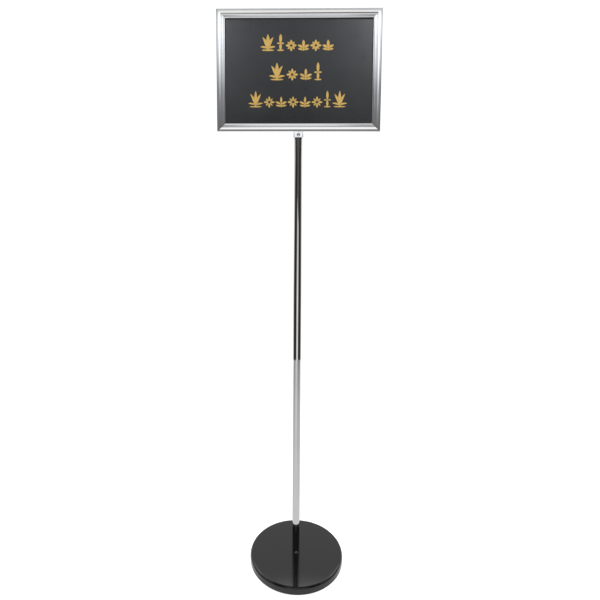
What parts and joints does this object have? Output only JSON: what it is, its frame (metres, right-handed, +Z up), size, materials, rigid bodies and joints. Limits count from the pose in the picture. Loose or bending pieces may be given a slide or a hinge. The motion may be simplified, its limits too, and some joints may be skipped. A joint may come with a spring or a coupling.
{
  "type": "sign stand",
  "caption": "Floor-standing sign holder: round weighted base, slim chromed pole near the rear edge and a framed landscape sign that turns on a clamped swivel.",
  "frame": {"origin": "centre of the round base where it meets the floor", "axes": "+Z up the pole, the sign faces -Y, +X to the right of someone reading the sign"},
  "size_m": [0.381, 0.2074, 1.25],
  "materials": {
    "gloss_black_paint": "gloss black enamel",
    "cast_iron": "rough cast, unpainted",
    "felt": "dark pressed felt",
    "plated_steel": "bright zinc plated",
    "chrome": "polished chrome plate",
    "black_nylon": "matte black",
    "bright_aluminium": "bright dipped, lightly brushed along its length",
    "zinc": "die-cast zinc, dull",
    "black_steel": "black oxide",
    "sign_black": "black sheet, satin gloss",
    "core_board": "grey-white filler board",
    "gold_print": "satin gold foil"
  },
  "bodies": {
    "stand": {"base_cover": "gloss_black_paint", "base_weight": "cast_iron", "base_pad": "felt", "cover_screw": "gloss_black_paint", "pole_bolt": "plated_steel", "pole_lock_washer": "plated_steel", "pole_flat_washer": "plated_steel", "pole_tube": "chrome", "pole_foot_insert": "plated_steel", "pole_head_insert": "plated_steel", "neck_washer": "black_nylon", "swivel_spindle": "plated_steel"},
    "head": {"swivel_block": "bright_aluminium", "friction_washer": "plated_steel", "mount_plate": "plated_steel", "mount_screws": "plated_steel", "rail_bottom": "bright_aluminium", "rail_left": "bright_aluminium", "rail_right": "bright_aluminium", "corner_keys_lower": "zinc", "key_screws_lower": "black_steel", "key_screws_side": "black_steel"},
    "clamp_screw": {"clamp_screw": "chrome"},
    "top_rail": {"rail_top": "bright_aluminium", "corner_keys_upper": "zinc", "key_screws_top": "black_steel"},
    "insert": {"sign_face_front": "sign_black", "sign_core": "core_board", "sign_face_back": "sign_black"}
  },
  "joints": [
    {"name": "head_swivel", "type": "hinge", "parent": "stand", "child": "head", "pos_m": [0, 0.09, 0.975], "axis": [0, 0, 1], "continuous": true},
    {"name": "clamp_turn", "type": "hinge", "parent": "head", "child": "clamp_screw", "pos_m": [0, 0.0828, 0.9684], "axis": [0, -1, 0], "range_deg": [0, 720]},
    {"name": "top_rail_lift", "type": "slide", "parent": "head", "child": "top_rail", "axis": [0, 0, 1], "range_m": [0, 0.32]},
    {"name": "insert_lift", "type": "slide", "parent": "head", "child": "insert", "axis": [0, 0, 1], "range_m": [0, 0.27]}
  ],
  "couplings": [
    {"joint": "insert_lift", "follows": "top_rail_lift", "ratio": 0.84375}
  ]
}
